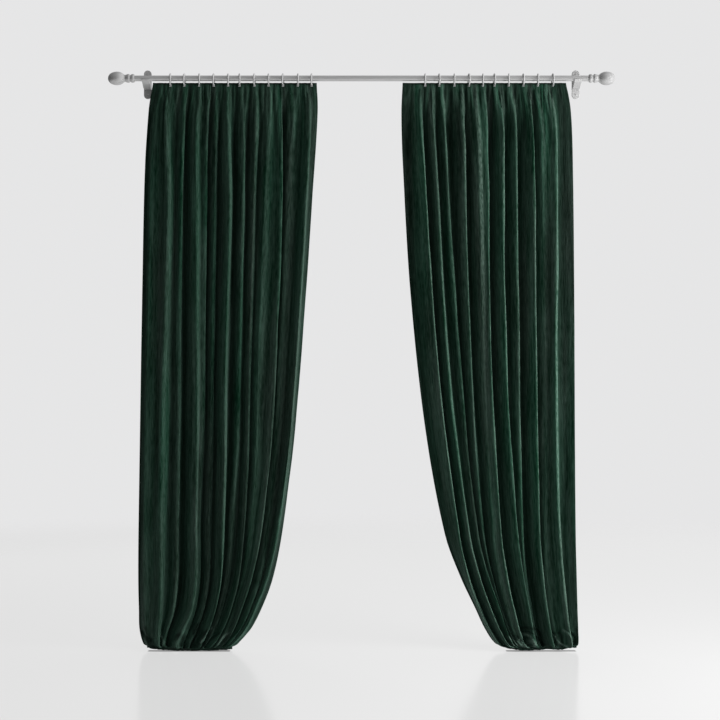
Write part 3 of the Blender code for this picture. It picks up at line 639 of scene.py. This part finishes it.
def drape(panel):
    """One hung drape. Returns the places of its lowest points, which the band goes round."""
    heights = row_heights()
    xs, ys, tone, crest = fold_rows(panel, heights)
    taken = open_slits(panel, xs, heights)
    across = arc_lengths(xs, ys)[len(heights) // 2]
    bumps = unevenness(panel, across, heights)
    run_x, run_y = np.gradient(xs, axis=1), np.gradient(ys, axis=1)
    length = np.maximum(np.hypot(run_x, run_y), TINY)
    pushed, light, dark = crease_depths(panel, xs, heights)
    tone = cloth_tone(panel, across, heights, tone, dark)
    # painted highlights of the ridges and the crease tops, weaker in the heading
    crest = np.clip(crest + light, 0.0, 1.0) * (1 - LIT_LOSS * heading_share(heights))
    xs, ys = xs + bumps * run_y / length, ys - bumps * run_x / length - pushed
    zs = np.repeat(heights[:, None], xs.shape[1], axis=1)
    zs += hem_lift(panel, xs[-1], ys[-1]) * smoothstep(HEM + HEM_SHARE, HEM, zs)
    rows, columns = xs.shape
    faces = []
    for i in range(rows - 1):
        for j in range(columns - 1):
            if not taken[i, j]:
                a = i * columns + j
                faces.append((a, a + columns, a + columns + 1, a + 1))
    cloth = np.stack([np.broadcast_to(across, zs.shape), zs, np.full_like(zs, panel["seed"])], axis=-1)
    points = np.stack([xs, ys, zs], axis=-1)
    obj = add_sheet("velvet_drape_" + panel["name"], points, faces, cloth, CLOTH, VELVET)
    # forward carries the painted shade of the folds, crest the painted highlights
    for word, values in (("forward", tone), ("crest", crest)):
        add_values(obj.data, word, "FLOAT", "value", values)
    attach(obj, "root")
    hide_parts("drape_" + panel["name"])
    lowest = zs < BAND_TOP + BAND_FADE / 2
    return list(zip(xs[lowest].tolist(), ys[lowest].tolist()))


def ring_names(panel):
    count = sum(fold.turn is not None for fold in panel["folds"])
    return [f"ring_{panel['name']}_{number:02d}" for number in range(1, count + 1)]


def even_outline(points, reach, count):
    """The outline drawn tight round some points, moved out by a reach and stepped evenly."""
    hull = [Vector(points[i]) for i in convex_hull_2d(points)]
    hull.append(hull[0])
    lengths = [0.0]
    for here, there in zip(hull, hull[1:]):
        lengths.append(lengths[-1] + (there - here).length)
    steps = np.linspace(0.0, lengths[-1], count, endpoint=False)
    x = np.interp(steps, lengths, [point.x for point in hull])
    y = np.interp(steps, lengths, [point.y for point in hull])
    run_x, run_y = np.roll(x, -1) - np.roll(x, 1), np.roll(y, -1) - np.roll(y, 1)
    length = np.hypot(run_x, run_y)
    turning = np.sign(np.sum(x * np.roll(y, -1) - y * np.roll(x, -1)))
    out = np.stack([run_y, -run_x]) * turning / length
    return x + reach * out[0], y + reach * out[1], out, steps, lengths[-1]


def tieback(panel, foot):
    """The ruched velvet band round the foot, which shows as a thin ragged rim."""
    reach = CLOTH / 2 + BAND_GAP + BAND_THICK / 2
    x, y, out, steps, around = even_outline(foot, reach, BAND_POINTS)
    seed = panel["seed"] + BAND_SEED
    cells = [max(round(around / width), RUCHE_LEAST) for width in RUCHE_WIDTHS]
    lift = hem_lift(panel, x, y)
    bottom = FLOOR + BAND_LIFT
    rows = []
    for row in range(BAND_ROWS + 1):
        share = row / BAND_ROWS
        ruche = sum(loop_noise(steps, around, n, share * RUCHE_TURN, seed + n) for n in cells) / 2
        wave = loop_noise(steps, around, cells[1], WAVE_TURN * share, seed + WAVE_SEED)
        height = bottom + lift * BAND_HEM + BAND_HIGH * share + BAND_WAVE * wave * (WAVE_LEAST + share)
        stand = BAND_RUCHE * (1 + ruche)
        at_x, at_y = x + out[0] * stand, y + out[1] * stand
        rows.append(np.stack([at_x, at_y, np.maximum(height, bottom)], axis=-1))
    points = np.concatenate(rows)
    faces = []
    for row in range(BAND_ROWS):
        for i in range(BAND_POINTS):
            j = (i + 1) % BAND_POINTS
            a, b = row * BAND_POINTS, (row + 1) * BAND_POINTS
            faces.append((a + i, a + j, b + j, b + i))
    along = np.tile(steps, BAND_ROWS + 1)
    cloth = np.stack([along, points[:, 2] * BAND_GRAIN, np.full(len(points), seed)], axis=-1)
    obj = add_sheet("velvet_tieback_" + panel["name"], points, faces, cloth, BAND_THICK, BAND_VELVET)
    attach(obj, "root")
    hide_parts("tieback_" + panel["name"])


# ------ shader nodes


def new_material(name):
    material = bpy.data.materials.new(name)
    material.use_nodes = True
    tree = material.node_tree
    return material, tree, tree.nodes["Principled BSDF"]


def set_inputs(node, values):
    """Gives inputs of a node, by name or number, plain values or the outputs of other nodes."""
    for key, value in values.items():
        if isinstance(value, bpy.types.NodeSocket):
            node.id_data.links.new(value, node.inputs[key])
        else:
            node.inputs[key].default_value = value


def noise_of(tree, vector, scale, detail=2.0):
    """A noise texture read in a vector stretched by a scale."""
    stretch = tree.nodes.new("ShaderNodeMapping")
    set_inputs(stretch, {"Vector": vector, "Scale": scale})
    noise = tree.nodes.new("ShaderNodeTexNoise")
    set_inputs(noise, {"Vector": stretch.outputs["Vector"], "Scale": 1.0, "Detail": detail})
    return noise.outputs["Fac"]


def combined(tree, kind, first, second):
    """Two values through a Math node."""
    node = tree.nodes.new("ShaderNodeMath")
    node.operation = kind
    set_inputs(node, {0: first, 1: second})
    return node.outputs[0]


def vector_math(tree, kind, vector, constant=(0.0, 0.0, 0.0)):
    node = tree.nodes.new("ShaderNodeVectorMath")
    node.operation = kind
    set_inputs(node, {0: vector, 1: constant})
    return node.outputs["Value" if kind == "LENGTH" else "Vector"]


def attribute_of(tree, name, socket):
    node = tree.nodes.new("ShaderNodeAttribute")
    node.attribute_name = name
    return node.outputs[socket]


def mapped(tree, value, start=(0.0, 1.0), end=(0.0, 1.0), kind="LINEAR"):
    """A value moved from one range to another."""
    node = tree.nodes.new("ShaderNodeMapRange")
    node.interpolation_type = kind
    set_inputs(node, {"From Min": start[0], "From Max": start[1], "Value": value})
    set_inputs(node, {"To Min": end[0], "To Max": end[1]})
    return node.outputs["Result"]


def ramp_of(tree, value, places, colours):
    """A value turned into a colour between two colours at two places."""
    ramp = tree.nodes.new("ShaderNodeValToRGB")
    for element, place, colour in zip(ramp.color_ramp.elements, places, colours):
        element.position = place
        element.color = colour
    set_inputs(ramp, {"Fac": value})
    return ramp.outputs["Color"]


def bump_on(tree, shader, height, strength, distance):
    bump = tree.nodes.new("ShaderNodeBump")
    set_inputs(bump, {"Strength": strength, "Distance": distance, "Height": height})
    set_inputs(shader, {"Normal": bump.outputs["Normal"]})


def mixed_shaders(tree, factor, first, second):
    node = tree.nodes.new("ShaderNodeMixShader")
    set_inputs(node, {"Fac": factor, 1: first, 2: second})
    return node.outputs["Shader"]


# ------ velvet and metal


def velvet_material(name, brightness=1.0):
    """Velvet: brushed streaks and flecks, painted shade in the folds, broken painted highlights on the
    ridges.
    """
    material, tree, shader = new_material(name)
    lay = attribute_of(tree, "cloth", "Vector")
    streaks = noise_of(tree, lay, (110.0, 6.0, 1.0), 3.0)
    flecks = noise_of(tree, lay, (230.0, 26.0, 1.0), 2.0)
    bruises = noise_of(tree, lay, (34.0, 1.6, 1.0))
    pile = noise_of(tree, lay, (900.0, 260.0, 1.0))
    tone = combined(tree, "ADD", combined(tree, "ADD", streaks, bruises), flecks)
    level = combined(tree, "MULTIPLY", tone, 1 / 3)
    colour = ramp_of(tree, level, (0.40, 0.62), (VELVET_DARK, VELVET_LIGHT))
    greying = mapped(tree, noise_of(tree, lay, (15.0, 0.9, 1.0)), (0.35, 0.65), (1.12, 0.70))
    hue = tree.nodes.new("ShaderNodeHueSaturation")
    set_inputs(hue, {"Saturation": greying, "Color": colour})
    # painted shade: the forward attribute scales the velvet's colour, darker in the folds
    forward = attribute_of(tree, "forward", "Fac")
    gain = mapped(tree, forward, (0.22, 0.88), (0.37 * brightness, 1.22 * brightness))
    shaded = tree.nodes.new("ShaderNodeVectorMath")
    shaded.operation = "SCALE"
    set_inputs(shaded, {0: hue.outputs["Color"], "Scale": gain})
    # painted highlight: pale grey-green dashes along the ridges' lit edges
    dashes = mapped(tree, noise_of(tree, lay, (300.0, 45.0, 1.0)), (0.40, 0.62), (0.15, 1.0))
    line = combined(tree, "MULTIPLY", attribute_of(tree, "crest", "Fac"), dashes)
    highlighted = tree.nodes.new("ShaderNodeMix")
    highlighted.data_type = "RGBA"
    set_inputs(highlighted, {"Factor": line, "A": shaded.outputs["Vector"], "B": RIDGE_HIGHLIGHT})
    relief = combined(tree, "ADD", streaks, flecks)
    relief = combined(tree, "ADD", relief, combined(tree, "MULTIPLY", pile, 0.3))
    bump_on(tree, shader, relief, 1.0, 0.0017)
    set_inputs(shader, {"Base Color": highlighted.outputs["Result"], "Roughness": 0.62})
    set_inputs(shader, {"Specular IOR Level": 0.05, "Sheen Weight": 0.55})
    set_inputs(shader, {"Sheen Roughness": 0.40, "Sheen Tint": SHEEN_TINT})
    return material


def metal_material(name, grey, roughness, metallic, brushing):
    """Satin metal with fine brush marks: brushing is the stretch of the marks along X, Y and Z."""
    material, tree, shader = new_material(name)
    place = tree.nodes.new("ShaderNodeTexCoord").outputs["Object"]
    marks = noise_of(tree, place, brushing, 3.0)
    clouds = noise_of(tree, place, (22.0, 22.0, 22.0), 2.0)
    dark, light = [(*[grey * share] * 3, 1.0) for share in (0.86, 1.10)]
    rough = combined(tree, "ADD", marks, clouds)
    roughening = mapped(tree, rough, (0.7, 1.3), (roughness - 0.06, roughness + 0.08))
    bump_on(tree, shader, marks, 0.5, 0.00006)
    colour = ramp_of(tree, marks, (0.30, 0.70), (dark, light))
    set_inputs(shader, {"Base Color": colour, "Roughness": roughening, "Metallic": metallic})
    return material


VELVET = velvet_material("velvet")
# a darker velvet for the band: painted shade under the folds that overhang it
BAND_VELVET = velvet_material("tieback_velvet", 0.55)
ROD_METAL = metal_material("rod_metal", 0.50, 0.42, 0.75, (12.0, 900.0, 900.0))
RING_METAL = metal_material("ring_metal", 0.62, 0.38, 0.75, (900.0, 160.0, 160.0))
BRACKET_METAL = metal_material("bracket_metal", 0.39, 0.55, 0.30, (700.0, 700.0, 40.0))

SLOT_MATERIALS = {
    "rod_metal": ROD_METAL,
    "bracket_metal": BRACKET_METAL,
    "screw_metal": BRACKET_METAL,
    "ring_metal": RING_METAL,
}


# ------ rings, finials and CAD nodes


def add_piece(name, mesh, slot_name, node):
    """A finer piece that stands for one CAD node."""
    mesh.shade_smooth()
    obj = new_object(name, mesh)
    obj.data.materials.append(SLOT_MATERIALS[slot_name])
    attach(obj, "root")
    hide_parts(node)
    return obj


def ring_mesh():
    """A round ring, a little flat along the rod, standing across X."""
    points, faces = [], []
    half = RING_DEEP / 2
    for i in range(RING_STEPS):
        around = 2 * math.pi * i / RING_STEPS
        for j in range(RING_SIDES):
            turn = 2 * math.pi * j / RING_SIDES
            reach = RING_OUTER - half + half * math.cos(turn)
            aside = RING_WIDE / 2 * math.sin(turn)
            points.append((aside, reach * math.cos(around), reach * math.sin(around)))
            a, b = i * RING_SIDES, (i + 1) % RING_STEPS * RING_SIDES
            k = (j + 1) % RING_SIDES
            faces.append((a + j, b + j, b + k, a + k))
    mesh = bpy.data.meshes.new("curtain_ring")
    mesh.from_pydata(points, [], faces)
    return mesh


def rings():
    shape = ring_mesh()
    centre_z = ROD_RADIUS + RING_SEAT - (RING_OUTER - RING_DEEP)
    for panel in (LEFT, RIGHT):
        carried = [fold for fold in panel["folds"] if fold.turn is not None]
        for fold, node in zip(carried, ring_names(panel)):
            obj = add_piece("curtain_" + node, shape.copy(), "ring_metal", node)
            obj.location = (fold.ring_x, -STANDOFF, centre_z)
            obj.rotation_euler = (0.0, 0.0, math.radians(fold.turn))


def finial_outline():
    """The finial's turned outline from the spigot's end to the ball's pole, as (distance, radius)."""
    collar = np.array(FINIAL_OUTLINE)
    spans = np.concatenate([[0.0], np.cumsum(np.hypot(*np.diff(collar, axis=0).T))])
    rows = [(-span, *row) for span, row in zip(spans, collar)]
    points = [(-SPIGOT_LENGTH, 0.0), (-SPIGOT_LENGTH, SPIGOT_RADIUS), (CLEARANCE, SPIGOT_RADIUS)]
    points += [tuple(smooth_table(rows, -span)) for span in np.linspace(0.0, spans[-1], COLLAR_STEPS)]
    widest = BALL_START + BALL_WIDEST * BALL_LENGTH
    end = BALL_START + BALL_LENGTH
    for i in range(1, BALL_STEPS):
        angle = math.pi * (BALL_NECK + (1 - BALL_NECK) * i / BALL_STEPS)
        half = widest - BALL_START if angle < math.pi / 2 else end - widest
        points.append((widest - half * math.cos(angle), BALL_RADIUS * math.sin(angle) ** BALL_FULLNESS))
    points.append((end, 0.0))
    return points


def turned_mesh(name, outline, side):
    """An outline turned about X; side is 1 when it runs along X and -1 when it runs against it."""
    points, faces = [], []
    for along, radius in outline:
        for k in range(TURNED_SIDES):
            angle = 2 * math.pi * k / TURNED_SIDES
            points.append((side * along, radius * math.cos(angle), side * radius * math.sin(angle)))
    for i in range(len(outline) - 1):
        for k in range(TURNED_SIDES):
            j = (k + 1) % TURNED_SIDES
            a, b = i * TURNED_SIDES, (i + 1) * TURNED_SIDES
            faces.append((a + k, a + j, b + j, b + k))
    mesh = bpy.data.meshes.new(name)
    mesh.from_pydata(points, [], faces)
    seam = bmesh.new()
    seam.from_mesh(mesh)
    bmesh.ops.remove_doubles(seam, verts=seam.verts, dist=SEAM)
    bmesh.ops.recalc_face_normals(seam, faces=seam.faces)
    seam.to_mesh(mesh)
    seam.free()
    return mesh


def finials():
    outline = finial_outline()
    for side, word in ((-1, "left"), (1, "right")):
        name = "egg_finial_" + word
        obj = add_piece(name, turned_mesh(name, outline, side), "rod_metal", "finial_" + word)
        obj.location = (side * ROD_HALF, -STANDOFF, 0.0)


def dress_cad_nodes():
    """Gives the CAD nodes that stay, the rod, brackets and screws, their finish."""
    for part in frame["record"]["subparts"]:
        node = frame["nodes"][part["node"]]
        if part["material_slot"] in SLOT_MATERIALS:
            node.data.materials.clear()
            node.data.materials.append(SLOT_MATERIALS[part["material_slot"]])


# ------ floor, light and camera


def foot_shade(tree, position, panel):
    """Painted shade: 1 on the floor in the hollows of a drape's foot, which little light reaches, and 0
    round it.
    """
    left, right = panel["sections"][-1][1:3]
    offset = vector_math(tree, "SUBTRACT", position, ((left + right) / 2, FOOT_MIDDLE, 0.0))
    split = tree.nodes.new("ShaderNodeSeparateXYZ")
    set_inputs(split, {"Vector": vector_math(tree, "ABSOLUTE", offset)})
    within = []
    for axis, half in (("X", (right - left) / 2), ("Y", FOOT_HALF)):
        within.append(mapped(tree, split.outputs[axis], (half, half - FOOT_FADE), kind="SMOOTHSTEP"))
    return combined(tree, "MULTIPLY", *within)


def floor():
    """A pale disc that glows, with painted shade in the drapes' feet, and fades out far from the rod."""
    centre = (0.0, 0.0, FLOOR)
    bpy.ops.mesh.primitive_circle_add(
        vertices=FLOOR_SIDES, radius=FLOOR_RADIUS, fill_type="NGON", location=centre
    )
    obj = bpy.context.object
    obj.name = "floor"
    material, tree, shader = new_material("floor")
    nodes = tree.nodes
    set_inputs(shader, {"Base Color": FLOOR_COLOUR, "Roughness": 0.9, "Specular IOR Level": 0.0})
    gloss = nodes.new("ShaderNodeBsdfGlossy")
    set_inputs(gloss, {"Color": GLOSS_COLOUR, "Roughness": FLOOR_ROUGHNESS})
    polished = mixed_shaders(tree, FLOOR_POLISH, shader.outputs["BSDF"], gloss.outputs["BSDF"])
    position = nodes.new("ShaderNodeNewGeometry").outputs["Position"]
    # painted shade: the floor's glow drops in the drapes' feet
    shades = [foot_shade(tree, position, panel) for panel in (LEFT, RIGHT)]
    glow = mapped(tree, combined(tree, "ADD", *shades), end=(FLOOR_GLOW, FOOT_GLOW))
    set_inputs(shader, {"Emission Color": WHITE, "Emission Strength": glow})
    distance = vector_math(tree, "LENGTH", vector_math(tree, "MULTIPLY", position, (1.0, 1.0, 0.0)))
    fade = mapped(tree, distance, (FLOOR_FADE, FLOOR_RADIUS), kind="SMOOTHSTEP")
    clear = nodes.new("ShaderNodeBsdfTransparent")
    surface = mixed_shaders(tree, fade, polished, clear.outputs["BSDF"])
    set_inputs(nodes["Material Output"], {"Surface": surface})
    obj.data.materials.append(material)


def area_light(name, location, target, size, watts):
    data = bpy.data.lights.new(name, "AREA")
    data.shape = "RECTANGLE"
    data.size, data.size_y = size
    data.energy = watts
    obj = new_object(name, data)
    obj.location = location
    obj.rotation_euler = (Vector(target) - Vector(location)).to_track_quat("-Z", "Y").to_euler()
    obj.visible_glossy = False


def world():
    """A plain pale backdrop, and studio light that is strong from the right and weak from the left."""
    surroundings = bpy.data.worlds.new("studio")
    surroundings.use_nodes = True
    tree = surroundings.node_tree
    nodes = tree.nodes
    backdrop = nodes["Background"]
    set_inputs(backdrop, {"Color": BACKDROP})
    split = nodes.new("ShaderNodeSeparateXYZ")
    set_inputs(split, {"Vector": nodes.new("ShaderNodeTexCoord").outputs["Generated"]})
    side = mapped(tree, split.outputs["X"], (LIGHT_TURN, 1.0), (LIGHT_LEFT, LIGHT_RIGHT), "SMOOTHSTEP")
    back = mapped(tree, split.outputs["Y"], end=(0.0, LIGHT_BACK), kind="SMOOTHSTEP")
    top = mapped(tree, split.outputs["Z"], end=(0.0, LIGHT_TOP), kind="SMOOTHSTEP")
    studio = nodes.new("ShaderNodeBackground")
    level = combined(tree, "ADD", combined(tree, "ADD", side, back), top)
    set_inputs(studio, {"Color": WHITE, "Strength": level})
    seen = nodes.new("ShaderNodeLightPath").outputs["Is Camera Ray"]
    surface = mixed_shaders(tree, seen, studio.outputs["Background"], backdrop.outputs["Background"])
    set_inputs(nodes["World Output"], {"Surface": surface})
    bpy.context.scene.world = surroundings


def camera():
    """A level camera that looks straight at the wall."""
    data = bpy.data.cameras.new("camera")
    data.sensor_width = SENSOR
    data.lens = SENSOR * CAMERA_DISTANCE / SEEN_WIDTH
    obj = new_object("camera", data)
    obj.location = (CAMERA_X, -STANDOFF - CAMERA_DISTANCE, CAMERA_Z)
    obj.rotation_euler = (math.pi / 2, 0.0, 0.0)
    bpy.context.scene.camera = obj


camera()
for panel in (LEFT, RIGHT):
    tieback(panel, drape(panel))
dress_cad_nodes()
rings()
finials()
floor()
world()
for light in LIGHTS:
    area_light(*light)
bpy.context.scene.view_settings.view_transform = "Standard"
